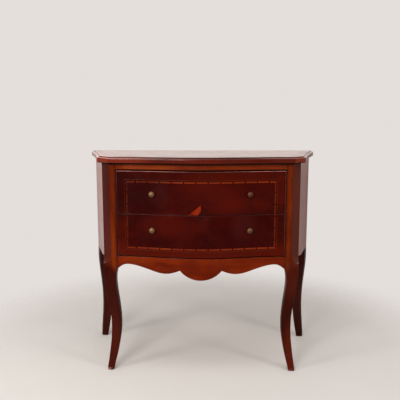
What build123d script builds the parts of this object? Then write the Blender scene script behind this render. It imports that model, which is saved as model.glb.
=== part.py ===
from build123d import *
import math
import os

os.makedirs("parts", exist_ok=True)

# Commode chest on four cabriole legs, with two bowed drawers.
# Origin on the floor at the middle of the chest, +Z up, front towards -Y, lengths in millimetres.

# Overall sizes
height = 800.0
top_width = 926.0
top_depth = 420.0

# Top
top_thickness = 23.0
top_front_half = 330.0
top_bow_half = 322.0
top_cant_run = 43.5
top_side_hollow = 5.0
top_lipping_width = 38.0
top_step_depth = 3.5
top_step_height = 4.0
top_round_run = 4.5
top_lower_chamfer = 2.5
top_crown_chamfer = 0.8

# Plan of the case
front_bow = 40.0
front_overhang = 22.0
back_overhang = 15.0
case_back_half = 443.5
opening_half = 303.5
post_face_half = 327.0
cant_run_x = 30.5
cant_run_y = 34.0
case_side_hollow = 5.0

# Heights of the case
rail_height = 22.0
apron_top = 437.0
drawer_front_height = 154.0
bottom_gap = 3.0
joint_gap = 1.0

# Front boards
front_board_thickness = 22.0
tenon_length = 18.0
tenon_thickness = 8.0
tenon_shoulder = 4.0

# Legs
knee_height = 400.0
post_depth = 50.0
knee_corner_half = 355.0
leg_sweep = 21.5
leg_front_sweep = 25.5
front_foot_width = 23.0
leg_arris = 3.0
rear_leg_sweep = 17.0
rear_knee_width = 44.0
rear_foot_width = 24.0
stop_height = 411.0
stop_length = 38.0
# height, side sweep, front sweep, width and arris of each section, as shares
front_leg_shares = [
    (0.0, 0.26, -0.22, 0.0, 0.9),
    (0.075, 0.41, 0.0, 0.105, 1.0),
    (0.15, 0.595, 0.25, 0.205, 1.0),
    (0.225, 0.75, 0.48, 0.285, 1.0),
    (0.30, 0.875, 0.67, 0.35, 1.0),
    (0.375, 0.935, 0.79, 0.40, 1.0),
    (0.475, 0.91, 0.82, 0.435, 1.0),
    (0.55, 0.805, 0.75, 0.455, 1.0),
    (0.65, 0.565, 0.56, 0.50, 1.0),
    (0.75, 0.285, 0.33, 0.56, 1.0),
    (0.8125, 0.14, 0.19, 0.60, 1.0),
    (0.875, 0.035, 0.08, 0.66, 1.0),
    (0.925, -0.01, 0.02, 0.76, 0.8),
    (0.9625, -0.01, 0.0, 0.88, 0.5),
    (1.0, 0.0, 0.0, 1.0, 0.15),
]
# height, side sweep, width and arris of each section, as shares
rear_leg_shares = [
    (0.0, 0.26, 0.0, 0.9),
    (0.075, 0.36, 0.18, 1.0),
    (0.15, 0.49, 0.30, 1.0),
    (0.25, 0.67, 0.40, 1.0),
    (0.35, 0.77, 0.465, 1.0),
    (0.45, 0.76, 0.505, 1.0),
    (0.55, 0.64, 0.555, 1.0),
    (0.65, 0.42, 0.63, 1.0),
    (0.75, 0.17, 0.74, 1.0),
    (0.85, -0.02, 0.86, 1.0),
    (0.925, -0.05, 0.95, 0.8),
    (1.0, 0.0, 1.0, 0.3),
]

# Apron outline, heights above the floor and places out from the middle
apron_leg_z = 391.0
apron_arch_x = 263.0
apron_arch_z = 409.0
apron_mid_x = 196.0
apron_mid_z = 394.0
apron_low_x = 128.0
apron_low_z = 379.0
apron_cusp_x = 75.0
apron_cusp_z = 393.0
apron_lobe_z = 358.0
apron_cusp_slope = 0.45
apron_leg_slope = 0.9

# Side panels
panel_thickness = 12.0
panel_tongue = 8.0
panel_tongue_thickness = 6.0
panel_front_z = 430.0
panel_rear_z = 394.0
# run along the side and rise of the lower edge, as shares
panel_edge_shares = [
    (0.0, 1.0),
    (0.13, 0.70),
    (0.25, 0.455),
    (0.38, 0.225),
    (0.50, 0.06),
    (0.62, -0.05),
    (0.75, -0.10),
    (0.88, -0.08),
    (1.0, 0.0),
]

# Back and inner frame
back_panel_thickness = 5.0
back_rebate = 10.0
rear_rail_thickness = 22.0
rear_rail_gap_to_back = 0.5
rear_top_rail_height = 40.0
rear_middle_rail_height = 50.0
rear_middle_rail_drop = 23.0
rear_bottom_rail_height = 70.0
rear_bottom_rail_z = 400.0
bottom_board_thickness = 5.0
bottom_board_groove = 4.0
cleat_width = 22.0
cleat_height = 20.0
cleat_screw_inset = 27.0

# Drawer ways
runner_inner_half = 288.0
runner_outer_half = 332.0
upper_runner_thickness = 12.0
guide_height = 20.0
guide_clearance = 0.5
run_clearance = 0.3
kicker_width = 24.0
kicker_clearance = 1.0
stop_block_width = 30.0
stop_block_height = 24.0
stop_block_thickness = 8.0

# Drawers
side_gap = 2.0
drawer_arris = 1.4
drawer_side_rise = 3.0
drawer_side_height = 140.0
drawer_side_thickness = 10.0
drawer_back_thickness = 10.0
drawer_back_inset = 8.0
drawer_back_drop = 8.0
drawer_housing = 4.0
drawer_bottom_thickness = 4.0
drawer_bottom_rise = 8.0
drawer_groove = 5.0
tail_length = 14.0
tail_root = 20.0
tail_flare = 3.0
tail_count = 3

# Veneers and inlay on the drawer fronts
veneer_recess = 1.0
glue_film = 0.05
veneer_joint = 0.1
stringing_half = 265.0
stringing_top_z = 710.5
stringing_bottom_z = 471.0
stringing_width = 5.0
stringing_pitch = 43.35
stringing_block = 4.0
stringing_first_run = 31.0
stringing_first_drop = 37.0
line_offset = 8.0
line_width = 1.3
lozenge_half_width = 46.0
lozenge_half_height = 37.0
lozenge_core_half_width = 11.0
lozenge_core_half_height = 17.0

# Knobs and screws
knob_half_spacing = 172.7
upper_knob_rise = 73.0
lower_knob_rise = 98.0
knob_diameter = 21.0
knob_projection = 17.0
knob_neck_diameter = 8.5
knob_neck_length = 5.5
knob_base_diameter = 13.0
knob_base_thickness = 1.6
knob_rim = 2.2
knob_bore_depth = 9.0
knob_seat_gap = 0.05
# place across and height of a point on the dome, as shares
knob_dome_shares = (0.72, 0.68)
screw_diameter = 4.0
screw_head_diameter = 8.0
screw_head_height = 2.6
screw_fit = 0.1
top_screw_depth = 14.0
# places of the screws along the cleats and along the rails, as shares
cleat_screw_shares = (0.15, 0.5, 0.85)
rail_screw_shares = (-0.6, 0.0, 0.6)
pin_diameter = 1.6
pin_head_diameter = 3.0
pin_head_height = 0.6
pin_length = 14.0
pin_margin = 5.0
pin_spacing = 90.0

# Glue blocks
glue_block_length = 60.0
glue_block_width = 18.0
glue_block_places = (90.0, 215.0)

# Extra length that a cutting tool runs past what it cuts
overrun = 60.0

# Places that follow from the sizes
back_y = top_depth / 2
top_front_y = front_bow - back_y
case_front_y = top_front_y + front_overhang
case_back_y = back_y - back_overhang
case_top = height - top_thickness
cant_half = post_face_half + cant_run_x
cant_back_y = case_front_y + cant_run_y
post_rear_y = case_front_y + post_depth
rail_bottom = case_top - rail_height
lower_front_z = apron_top + bottom_gap
upper_front_z = lower_front_z + drawer_front_height + joint_gap
drawer_half = opening_half - side_gap
back_panel_y = case_back_y - back_panel_thickness
rear_rail_back_y = back_panel_y - rear_rail_gap_to_back
rear_rail_front_y = rear_rail_back_y - rear_rail_thickness
drawer_box_front_y = case_front_y + front_board_thickness
drawer_stop_y = rear_rail_front_y - stop_block_thickness
drawer_rear_y = drawer_stop_y - run_clearance
guide_inner_half = drawer_half + guide_clearance


def block(x0, x1, y0, y1, z0, z1):
    """Rectangular block between two corners."""
    middle = Pos((x0 + x1) / 2, (y0 + y1) / 2, (z0 + z1) / 2)
    return middle * Box(abs(x1 - x0), abs(y1 - y0), abs(z1 - z0))


def prism(points, along, start=0.0, length=None):
    """Polygon of 3-D points, drawn out along a direction, both ways when no length is given."""
    face = make_face(Polyline(*points, close=True))
    if length is None:
        return extrude(face, amount=top_depth, dir=along, both=True)
    return extrude(face, amount=length, dir=along)


def mirrored(shape):
    """The same piece for the other side of the chest."""
    return mirror(shape, about=Plane.YZ)


def joined(lines):
    """Face inside a closed run of lines."""
    return Face(Wire([edge for line in lines for edge in line.edges()]))


def front_curve(half, end_y, steps=12):
    """Bowed front edge in plan, flat towards both ends and full in the middle."""
    points = []
    for i in range(steps + 1):
        share = 2 * i / steps - 1
        points.append((half * share, end_y - front_bow * (1 + math.cos(math.pi * share)) / 2))
    return Spline(*points, tangents=((1, 0), (1, 0)), tangent_scalars=(1, 1))


def bowed_board(setback, thickness, z0, z1, half=opening_half):
    """Board whose face follows the bowed front of the case."""
    outer = front_curve(opening_half, case_front_y + setback)
    inner = Pos(0, thickness) * outer
    face = joined([outer, Line(outer @ 1, inner @ 1), inner, Line(inner @ 0, outer @ 0)])
    board = Pos(0, 0, z0) * extrude(face, amount=z1 - z0, dir=(0, 0, 1))
    if half < opening_half:
        board = board & block(-half, half, -top_depth, top_depth, z0 - overrun, z1 + overrun)
    return board


# Plan of the hollow sides
side_front = Vector(cant_half, cant_back_y)
side_back = Vector(case_back_half, case_back_y)
side_chord = side_back - side_front
side_normal = Vector(side_chord.Y, -side_chord.X).normalized()
side_middle = (side_front + side_back) / 2 - side_normal * case_side_hollow


def side_curve(inset=0.0):
    """Hollow side of the case in plan, moved inwards by an inset."""
    arc = ThreePointArc(side_front, side_middle, side_back)
    shift = side_normal * -inset
    return Pos(shift.X, shift.Y) * arc


def side_x_at(y, inset=0.0):
    """Place of the side curve at one depth, read from the circle through its three points."""
    radius = (side_chord.length ** 2 / 4 + case_side_hollow ** 2) / (2 * case_side_hollow)
    centre = side_middle + side_normal * radius - side_normal * inset
    return centre.X - math.sqrt(radius ** 2 - (y - centre.Y) ** 2)


def side_band(outer_inset, inner_inset, y0, y1, z0, z1):
    """Board that follows the hollow side, between two insets from it."""
    outer = side_curve(outer_inset)
    inner = side_curve(inner_inset)
    face = joined([outer, Line(outer @ 1, inner @ 1), inner, Line(inner @ 0, outer @ 0)])
    band = Pos(0, 0, z0) * extrude(face, amount=z1 - z0, dir=(0, 0, 1))
    return band & block(0, top_width, y0, y1, z0 - overrun, z1 + overrun)


# Top, planed edge by edge: the bowed front, the canted corners and the hollow sides
def top_side_x(y, inset):
    """Place of the hollow side of the top at one depth."""
    front = Vector(top_front_half + top_cant_run, top_front_y + top_cant_run)
    back = Vector(top_width / 2, back_y)
    chord = back - front
    out = Vector(chord.Y, -chord.X).normalized()
    radius = (chord.length ** 2 / 4 + top_side_hollow ** 2) / (2 * top_side_hollow)
    centre = (front + back) / 2 + out * (radius - top_side_hollow)
    return centre.X - math.sqrt((radius + inset) ** 2 - (y - centre.Y) ** 2)


def planed_slab(rim, far_corners, z0, z1, cuts):
    """Slab behind one edge, with that edge rounded or chamfered at the given heights."""
    face = joined(rim + [Polyline(rim[-1] @ 1, *far_corners, rim[0] @ 0)])
    slab = Pos(0, 0, z0) * extrude(face, amount=z1 - z0, dir=(0, 0, 1))
    for z, planed, size in cuts:
        level = slab.edges().filter_by_position(Axis.Z, z, z)
        marks = [Vector(line @ 0.5) + Vector(0, 0, z) for line in rim]
        slab = planed([level.sort_by_distance(mark)[0] for mark in marks], size)
    return slab


def top_board(inset, z0, z1, cuts=(), steps=6):
    """Slice of the top between two heights, moved inwards by an inset."""
    far = top_width
    front_y = top_front_y + inset
    curve = front_curve(top_bow_half, front_y)
    rim = [Line((-far, front_y), curve @ 0), curve, Line(curve @ 1, (far, front_y))]
    board = planed_slab(rim, [(far, far), (-far, far)], z0, z1, cuts)
    first, last = top_front_y - overrun, back_y + overrun
    depths = [first + (last - first) * i / steps for i in range(steps + 1)]
    for hand in (1, -1):
        along = Vector(1, hand).normalized()
        out = Vector(hand, -1).normalized()
        corner = Vector(hand * top_front_half, top_front_y) - out * inset
        ends = [corner - along * far, corner + along * far]
        rim = [Line((ends[0].X, ends[0].Y), (ends[1].X, ends[1].Y))]
        backs = [end - out * far * 2 for end in ends]
        board &= planed_slab(rim, [(backs[1].X, backs[1].Y), (backs[0].X, backs[0].Y)], z0, z1, cuts)
        rim = [Spline(*[(hand * top_side_x(y, inset), y) for y in depths])]
        board &= planed_slab(rim, [(-hand * far, last), (-hand * far, first)], z0, z1, cuts)
    return board & block(-far, far, -far, back_y, z0 - overrun, z1 + overrun)


def top_panel():
    """Veneered board inside the lipping."""
    return top_board(top_lipping_width, case_top, height)


def top_edge_moulding():
    """Solid lipping with a step and a round on its edge."""
    step_z = height - top_step_height
    cuts = [(step_z, fillet, top_round_run), (case_top, chamfer, top_lower_chamfer)]
    crown_cut = (height, chamfer, top_crown_chamfer)
    body = top_board(0, case_top, step_z, cuts)
    body += top_board(top_round_run + top_step_depth, step_z, height, [crown_cut])
    return body - top_board(top_lipping_width, case_top - overrun, height + overrun)


# Legs
post_back_half = side_x_at(post_rear_y)
rear_post_front_y = case_back_y - rear_knee_width
rear_slope = (case_back_half - side_x_at(rear_post_front_y)) / rear_knee_width


def leg_section(corners, arris, z):
    """Four-cornered section of a leg with eased arrises."""
    face = make_face(Polyline(*[(x, y, z) for x, y in corners], close=True))
    return fillet(face.vertices(), arris)


def front_leg_blank():
    """Cabriole leg and post with the corner still square."""
    sections = []
    knee_width = knee_corner_half - opening_half
    for rise, sweep, forward, width_share, arris in front_leg_shares:
        outer = knee_corner_half - sweep * leg_sweep
        front = case_front_y + forward * leg_front_sweep
        width = front_foot_width + width_share * (knee_width - front_foot_width)
        depth = front_foot_width + width_share * (post_depth - front_foot_width)
        lean = rise * (post_back_half - knee_corner_half) * depth / post_depth
        corners = [(outer, front), (outer + lean, front + depth)]
        corners += [(outer - width, front + depth), (outer - width, front)]
        sections.append(leg_section(corners, arris * leg_arris, rise * knee_height))
    post = prism(
        [
            (opening_half, case_front_y, knee_height),
            (knee_corner_half, case_front_y, knee_height),
            (post_back_half, post_rear_y, knee_height),
            (opening_half, post_rear_y, knee_height),
        ],
        (0, 0, 1),
        length=case_top - knee_height,
    )
    return loft(sections) + post


def cant_cutter():
    """What the canted corner and its curved stop take off the post."""
    run = Vector(cant_run_x, cant_run_y).normalized()
    out = Vector(run.Y, -run.X)
    start = Vector(post_face_half, case_front_y)

    def at(distance, z):
        point = start + out * distance
        return (point.X, point.Y, z)

    depth = (Vector(knee_corner_half, case_front_y) - start).dot(out)
    stop_top = stop_height + stop_length
    curve = Spline(
        at(0, stop_top),
        at(depth / 3, stop_height + stop_length / 4),
        at(depth, stop_height),
        tangents=((0, 0, -1), (out.X, out.Y, 0)),
    )
    far = depth + overrun
    edges = [
        curve,
        Line(at(depth, stop_height), at(far, stop_height)),
        Line(at(far, stop_height), at(far, case_top + overrun)),
        Line(at(far, case_top + overrun), at(0, case_top + overrun)),
        Line(at(0, case_top + overrun), at(0, stop_top)),
    ]
    return extrude(joined(edges), amount=post_depth + overrun, dir=(run.X, run.Y, 0), both=True)


def rear_leg_blank():
    """Rear cabriole leg and post, with its outer face in line with the side."""
    sections = []
    for rise, sweep, width_share, arris in rear_leg_shares:
        outer = case_back_half - sweep * rear_leg_sweep
        width = rear_foot_width + width_share * (rear_knee_width - rear_foot_width)
        lean = rear_slope * width
        corners = [(outer, case_back_y), (outer - width, case_back_y)]
        corners += [(outer - width - lean, case_back_y - width), (outer - lean, case_back_y - width)]
        sections.append(leg_section(corners, arris * leg_arris, rise * knee_height))
    outer = case_back_half
    inner = outer - rear_knee_width
    lean = rear_slope * rear_knee_width
    post = prism(
        [
            (outer, case_back_y, knee_height),
            (inner, case_back_y, knee_height),
            (inner - lean, rear_post_front_y, knee_height),
            (outer - lean, rear_post_front_y, knee_height),
        ],
        (0, 0, 1),
        length=case_top - knee_height,
    )
    return loft(sections) + post


# Tenons, each a block that the post's mortise is cut for
def front_tenon(z0, z1):
    """Tenon of a front rail in the right post."""
    y0 = case_front_y + (front_board_thickness - tenon_thickness) / 2
    return block(opening_half, opening_half + tenon_length, y0, y0 + tenon_thickness, z0, z1)


def rear_tenon(z0, z1):
    """Tenon of a rear rail in the right rear post."""
    y0 = rear_rail_front_y + (rear_rail_thickness - tenon_thickness) / 2
    inner = case_back_half - rear_knee_width
    return block(inner - rear_rail_thickness, inner + tenon_length, y0, y0 + tenon_thickness, z0, z1)


frieze_tenon = front_tenon(rail_bottom + tenon_shoulder, case_top - tenon_shoulder)
apron_tenon = front_tenon(apron_arch_z, apron_top - tenon_shoulder)
rear_middle_z = upper_front_z + drawer_side_rise - rear_middle_rail_drop
rear_rail_spans = {
    "rear_top_rail": (case_top - rear_top_rail_height, case_top),
    "rear_middle_rail": (rear_middle_z, rear_middle_z + rear_middle_rail_height),
    "rear_bottom_rail": (rear_bottom_rail_z, rear_bottom_rail_z + rear_bottom_rail_height),
}


def side_board(outer_inset):
    """Right side board behind the front post, with its shaped lower edge."""
    board = side_band(outer_inset, panel_thickness, post_rear_y, case_back_y, panel_rear_z, case_top)
    run = case_back_y - post_rear_y
    rise = panel_front_z - panel_rear_z
    points = [(0, post_rear_y + run * along, panel_rear_z + rise * up) for along, up in panel_edge_shares]
    edge = Spline(*points)
    low = panel_rear_z - overrun
    corners = [edge @ 1, (0, case_back_y, low), (0, post_rear_y, low), edge @ 0]
    waste = extrude(joined([edge, Polyline(*corners)]), amount=top_width, dir=(1, 0, 0))
    return board - waste


def side_panel():
    """Right side panel with its tongue in the front post."""
    tongue_inset = (panel_thickness - panel_tongue_thickness) / 2
    tongue = side_band(
        tongue_inset,
        tongue_inset + panel_tongue_thickness,
        post_rear_y - panel_tongue,
        post_rear_y,
        panel_front_z,
        case_top - tenon_shoulder,
    )
    return side_board(0) + tongue


def front_leg(panel):
    """Right front leg with canted corner, mortises and the groove for the side panel."""
    return front_leg_blank() - cant_cutter() - panel - frieze_tenon - apron_tenon


def rear_leg():
    """Right rear leg, cut back for the side panel, the back panel and the rear rails."""
    leg = rear_leg_blank() - side_board(-overrun)
    rebate_half = case_back_half - rear_knee_width + back_rebate
    leg -= block(0, rebate_half, back_panel_y, case_back_y + overrun, rear_bottom_rail_z, case_top + overrun)
    for z0, z1 in rear_rail_spans.values():
        leg -= rear_tenon(z0 + tenon_shoulder, z1 - tenon_shoulder)
    return leg


def frieze_rail():
    """Bowed rail above the drawers, laid flat and tenoned into the posts."""
    outer = front_curve(opening_half, case_front_y)
    corners = [outer @ 1, (opening_half, post_rear_y), (-opening_half, post_rear_y), outer @ 0]
    face = joined([outer, Polyline(*corners)])
    rail = Pos(0, 0, rail_bottom) * extrude(face, amount=rail_height, dir=(0, 0, 1))
    return rail + frieze_tenon + mirrored(frieze_tenon)


def front_apron():
    """Bowed apron with scalloped lower edge, tenoned into the posts."""
    board = bowed_board(0, front_board_thickness, apron_lobe_z - overrun, apron_top)
    right = Spline(
        (apron_cusp_x, 0, apron_cusp_z),
        (apron_low_x, 0, apron_low_z),
        (apron_mid_x, 0, apron_mid_z),
        (apron_arch_x, 0, apron_arch_z),
        (opening_half, 0, apron_leg_z),
        tangents=((1, 0, -apron_cusp_slope), (1, 0, -apron_leg_slope)),
    )
    left = mirror(right, about=Plane.YZ)
    lobe = ThreePointArc((-apron_cusp_x, 0, apron_cusp_z), (0, 0, apron_lobe_z), (apron_cusp_x, 0, apron_cusp_z))
    high = apron_top + overrun
    rim = Polyline(
        (opening_half, 0, apron_leg_z),
        (opening_half, 0, high),
        (-opening_half, 0, high),
        (-opening_half, 0, apron_leg_z),
    )
    shape = extrude(joined([right, lobe, left, rim]), amount=top_depth, dir=(0, 1, 0), both=True)
    return (board & shape) + apron_tenon + mirrored(apron_tenon)


def rear_rail(z0, z1):
    """Straight rail between the rear legs."""
    inner_half = case_back_half - rear_knee_width
    lean = rear_slope * (case_back_y - rear_rail_back_y)
    front_lean = rear_slope * (case_back_y - rear_rail_front_y)
    rail = prism(
        [
            (-inner_half + front_lean, rear_rail_front_y, z0),
            (inner_half - front_lean, rear_rail_front_y, z0),
            (inner_half - lean, rear_rail_back_y, z0),
            (-inner_half + lean, rear_rail_back_y, z0),
        ],
        (0, 0, 1),
        length=z1 - z0,
    )
    tenon = rear_tenon(z0 + tenon_shoulder, z1 - tenon_shoulder)
    return rail + tenon + mirrored(tenon)


def back_panel():
    """Plywood back in the rebates of the rear legs."""
    half = case_back_half - rear_knee_width + back_rebate - glue_film
    return block(-half, half, back_panel_y, case_back_y, rear_bottom_rail_z + glue_film, case_top)


def bottom_board(legs):
    """Plywood board under the lower drawer, in grooves of the side panels."""
    z0 = apron_top - bottom_board_thickness
    curve = front_curve(opening_half, drawer_box_front_y)
    inset = panel_thickness - bottom_board_groove
    front_x = side_x_at(post_rear_y, inset)
    back_x = side_x_at(rear_rail_front_y, inset)
    middle_y = (post_rear_y + rear_rail_front_y) / 2
    middle_x = side_x_at(middle_y, inset)
    right = ThreePointArc((front_x, post_rear_y), (middle_x, middle_y), (back_x, rear_rail_front_y))
    left = mirror(right, about=Plane.YZ)
    edges = [
        curve,
        Polyline(curve @ 1, (opening_half, post_rear_y), (front_x, post_rear_y)),
        right,
        Line((back_x, rear_rail_front_y), (-back_x, rear_rail_front_y)),
        left,
        Polyline((-front_x, post_rear_y), (-opening_half, post_rear_y), curve @ 0),
    ]
    board = Pos(0, 0, z0) * extrude(joined(edges), amount=bottom_board_thickness, dir=(0, 0, 1))
    for leg in legs:
        board -= leg
    return board


def top_cleat():
    """Right cleat along the side panel that the top is screwed to."""
    inner = panel_thickness + cleat_width
    return side_band(
        panel_thickness, inner, post_rear_y, rear_post_front_y, case_top - cleat_height, case_top
    )


# Drawer ways
lower_side_z = lower_front_z + drawer_side_rise
upper_side_z = upper_front_z + drawer_side_rise
lower_way_z = lower_side_z - run_clearance
upper_way_z = upper_side_z - run_clearance


def runner(z0, z1):
    """Right runner under a drawer side."""
    return block(runner_inner_half, runner_outer_half, post_rear_y, rear_rail_front_y, z0, z1)


def guide(z0):
    """Right strip that keeps a drawer straight."""
    return block(guide_inner_half, runner_outer_half, post_rear_y, rear_rail_front_y, z0, z0 + guide_height)


def kicker():
    """Right strip above the upper drawer that keeps it from tipping."""
    z0 = upper_side_z + drawer_side_height + kicker_clearance
    return block(runner_inner_half, runner_inner_half + kicker_width, post_rear_y, rear_rail_front_y, z0, case_top)


def drawer_stops():
    """Blocks on the rear rails that the drawers run back to."""
    x0 = drawer_half - stop_block_width
    stops = []
    for way_z in (lower_way_z, upper_way_z):
        top_z = way_z + stop_block_height
        right = block(x0, drawer_half, drawer_stop_y, rear_rail_front_y, way_z, top_z)
        stops += [right, mirrored(right)]
    return Compound(children=stops)


def glue_blocks():
    """Blocks in the corner of the apron and the bottom board."""
    z1 = apron_top - bottom_board_thickness
    strip = bowed_board(front_board_thickness + glue_film, glue_block_width, z1 - glue_block_width, z1)
    half = glue_block_length / 2
    blocks = []
    for x in glue_block_places:
        piece = strip & block(x - half, x + half, -top_depth, top_depth, 0, height)
        blocks += [piece, mirrored(piece)]
    return Compound(children=blocks)


# Screws and pins
def screw(length):
    """Countersunk wood screw along +Z, its head down at the origin."""
    shaft = extrude(Circle(screw_diameter / 2), amount=length)
    head = Cone(
        screw_head_diameter / 2,
        screw_diameter / 2,
        screw_head_height,
        align=(Align.CENTER, Align.CENTER, Align.MIN),
    )
    return shaft + head


def screw_way(length):
    """Clearance for a screw along +Z."""
    shaft = extrude(Circle(screw_diameter / 2 + screw_fit), amount=length + screw_fit)
    head = Cone(
        screw_head_diameter / 2 + screw_fit,
        screw_diameter / 2 + screw_fit,
        screw_head_height + screw_fit,
        align=(Align.CENTER, Align.CENTER, Align.MIN),
    )
    mouth = extrude(Circle(screw_head_diameter / 2 + screw_fit), amount=-screw_fit)
    return shaft + head + mouth


def cleat_screw_places():
    """Places of the screws in the cleats, the frieze rail and the rear top rail."""
    places = []
    run = rear_post_front_y - post_rear_y
    for share in cleat_screw_shares:
        y = post_rear_y + run * share
        x = side_x_at(y, cleat_screw_inset)
        places += [(x, y, case_top - cleat_height), (-x, y, case_top - cleat_height)]
    rail_y = post_rear_y - rail_height / 2
    rear_y = (rear_rail_front_y + rear_rail_back_y) / 2
    for share in rail_screw_shares:
        places.append((share * opening_half, rail_y, rail_bottom))
        places.append((share * opening_half, rear_y, case_top - cleat_height))
    return places


def top_screw_length(z):
    """Length of a top screw whose head lies at one height."""
    return case_top - z + top_screw_depth


def top_screws():
    """Screws that hold the top down."""
    return Compound(children=[Pos(*place) * screw(top_screw_length(place[2])) for place in cleat_screw_places()])


def top_screw_ways():
    """Clearance of all top screws, with a deep mouth where the rear rail is taller."""
    ways = []
    for x, y, z in cleat_screw_places():
        ways.append(Pos(x, y, z) * screw_way(top_screw_length(z)))
        ways.append(Pos(x, y, z) * extrude(Circle(screw_head_diameter / 2 + screw_fit), amount=-overrun))
    return ways


def back_pin_places():
    """Places of the pins round the back panel."""
    places = []
    side_x = case_back_half - rear_knee_width + pin_margin
    rows = int((case_top - rear_bottom_rail_z) // pin_spacing)
    step = (case_top - rear_bottom_rail_z) / rows
    for i in range(rows):
        z = rear_bottom_rail_z + step * (i + 0.5)
        places += [(side_x, z), (-side_x, z)]
    columns = int(2 * opening_half // pin_spacing)
    step = 2 * opening_half / columns
    for i in range(columns):
        x = -opening_half + step * (i + 0.5)
        places.append((x, case_top - rear_top_rail_height / 2))
        places.append((x, rear_bottom_rail_z + pin_spacing / 3))
    return places


def pin(radius_extra=0.0):
    """Panel pin along -Y with its head flush with the back."""
    flat = Plane(origin=(0, case_back_y, 0), z_dir=(0, -1, 0))
    shaft = extrude(flat * Circle(pin_diameter / 2 + radius_extra), amount=pin_length + radius_extra)
    head = extrude(flat * Circle(pin_head_diameter / 2 + radius_extra), amount=pin_head_height + radius_extra)
    return shaft + head


# Drawers
def drawer_front_blank(z0):
    """Bowed board with eased front arrises and the recess for the veneers."""
    z1 = z0 + drawer_front_height
    board = bowed_board(0, front_board_thickness, z0, z1, drawer_half)
    face = board.faces().sort_by(Axis.Y)[0]
    board = fillet(face.edges(), drawer_arris)
    recess = bowed_board(
        -overrun,
        overrun + veneer_recess,
        z0 + drawer_arris,
        z1 - drawer_arris,
        drawer_half - drawer_arris,
    )
    return board - recess


def drawer_side(z0):
    """Right drawer side with dovetails at its front end."""
    x0 = drawer_half - drawer_side_thickness
    board = block(x0, drawer_half, drawer_box_front_y, drawer_rear_y, z0, z0 + drawer_side_height)
    pitch = drawer_side_height / tail_count
    for i in range(tail_count):
        middle = z0 + pitch * (i + 0.5)
        tip = tail_root / 2 + tail_flare
        tail = prism(
            [
                (x0, drawer_box_front_y, middle - tail_root / 2),
                (x0, drawer_box_front_y - tail_length, middle - tip),
                (x0, drawer_box_front_y - tail_length, middle + tip),
                (x0, drawer_box_front_y, middle + tail_root / 2),
            ],
            (1, 0, 0),
            length=drawer_side_thickness,
        )
        board += tail
    return board


def drawer_back(z0):
    """Back of a drawer, housed in its sides and standing on the bottom."""
    y1 = drawer_rear_y - drawer_back_inset
    half = drawer_half - drawer_side_thickness + drawer_housing
    low = z0 + drawer_bottom_rise + drawer_bottom_thickness
    return block(-half, half, y1 - drawer_back_thickness, y1, low, z0 + drawer_side_height - drawer_back_drop)


def drawer_bottom(z0):
    """Plywood bottom in the grooves of front and sides."""
    half = drawer_half - drawer_side_thickness + drawer_groove
    curve = front_curve(opening_half, drawer_box_front_y - drawer_groove)
    corners = [curve @ 1, (opening_half, drawer_rear_y), (-opening_half, drawer_rear_y), curve @ 0]
    face = joined([curve, Polyline(*corners)])
    low = z0 + drawer_bottom_rise
    board = Pos(0, 0, low) * extrude(face, amount=drawer_bottom_thickness, dir=(0, 0, 1))
    reach = drawer_rear_y - drawer_back_inset
    return board & block(-half, half, -top_depth, reach, low - overrun, low + overrun)


# Knobs, square to the bowed face
def face_y(x):
    """Depth of the bowed face at a place across the front."""
    return case_front_y - front_bow * (1 + math.cos(math.pi * x / opening_half)) / 2


def face_turn(x):
    """Turn of the bowed face at a place across the front, in degrees."""
    slope = front_bow * math.pi / (2 * opening_half) * math.sin(math.pi * x / opening_half)
    return math.degrees(math.atan(slope))


def on_face(x, z):
    """Place on the bowed face, with its Z axis pointing straight out of it."""
    return Pos(x, face_y(x), z) * Rot(0, 0, face_turn(x)) * Rot(90, 0, 0)


def knob():
    """Domed knob on a neck and a small base, standing along +Z, with a bore for its screw."""
    radius = knob_diameter / 2
    neck = knob_neck_diameter / 2
    base = knob_base_diameter / 2
    rim_z = knob_base_thickness + knob_neck_length
    dome_z = rim_z + knob_rim
    profile = [
        Line((0, 0), (base, 0)),
        Line((base, 0), (base, knob_base_thickness / 2)),
        Line((base, knob_base_thickness / 2), (neck, knob_base_thickness)),
        Line((neck, knob_base_thickness), (neck, rim_z - knob_rim / 2)),
        Line((neck, rim_z - knob_rim / 2), (radius, rim_z + knob_rim / 2)),
        Line((radius, rim_z + knob_rim / 2), (radius, dome_z)),
        Spline(
            (radius, dome_z),
            (radius * knob_dome_shares[0], dome_z + (knob_projection - dome_z) * knob_dome_shares[1]),
            (0, knob_projection),
            tangents=((0, 1), (-1, 0)),
        ),
        Line((0, knob_projection), (0, 0)),
    ]
    body = revolve(Plane.XZ * joined(profile), Axis.Z)
    return Pos(0, 0, knob_seat_gap) * (body - extrude(Circle(screw_diameter / 2 + screw_fit), amount=knob_bore_depth))


def knob_screw_length():
    """Length of a knob screw from the inside of the drawer front."""
    return front_board_thickness + knob_bore_depth - 2 * screw_head_height


def knob_screw_place(x, z):
    """Place of a knob screw's head, sunk into the inside of the drawer front."""
    return on_face(x, z) * Pos(0, 0, -front_board_thickness + screw_head_height / 2)


# Veneers
def veneer_sheet(z0):
    """Whole sheet that fills the recess of one drawer front."""
    z1 = z0 + drawer_front_height
    depth = veneer_recess - glue_film
    return bowed_board(0, depth, z0 + drawer_arris, z1 - drawer_arris, drawer_half - drawer_arris)


def flat_shape(points):
    """Outline in the plane of the front, drawn in by half a veneer joint."""
    face = make_face(Polyline(*[(x, z) for x, z in points], close=True))
    face = offset(face, amount=-veneer_joint / 2, kind=Kind.INTERSECTION)
    return Plane.XZ * face


def cut_from(sheet, outlines):
    """Pieces of a sheet inside the given outlines."""
    pieces = []
    for points in outlines:
        tool = extrude(flat_shape(points), amount=top_depth, both=True)
        pieces += list((sheet & tool).solids())
    return Compound(children=pieces)


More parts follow.
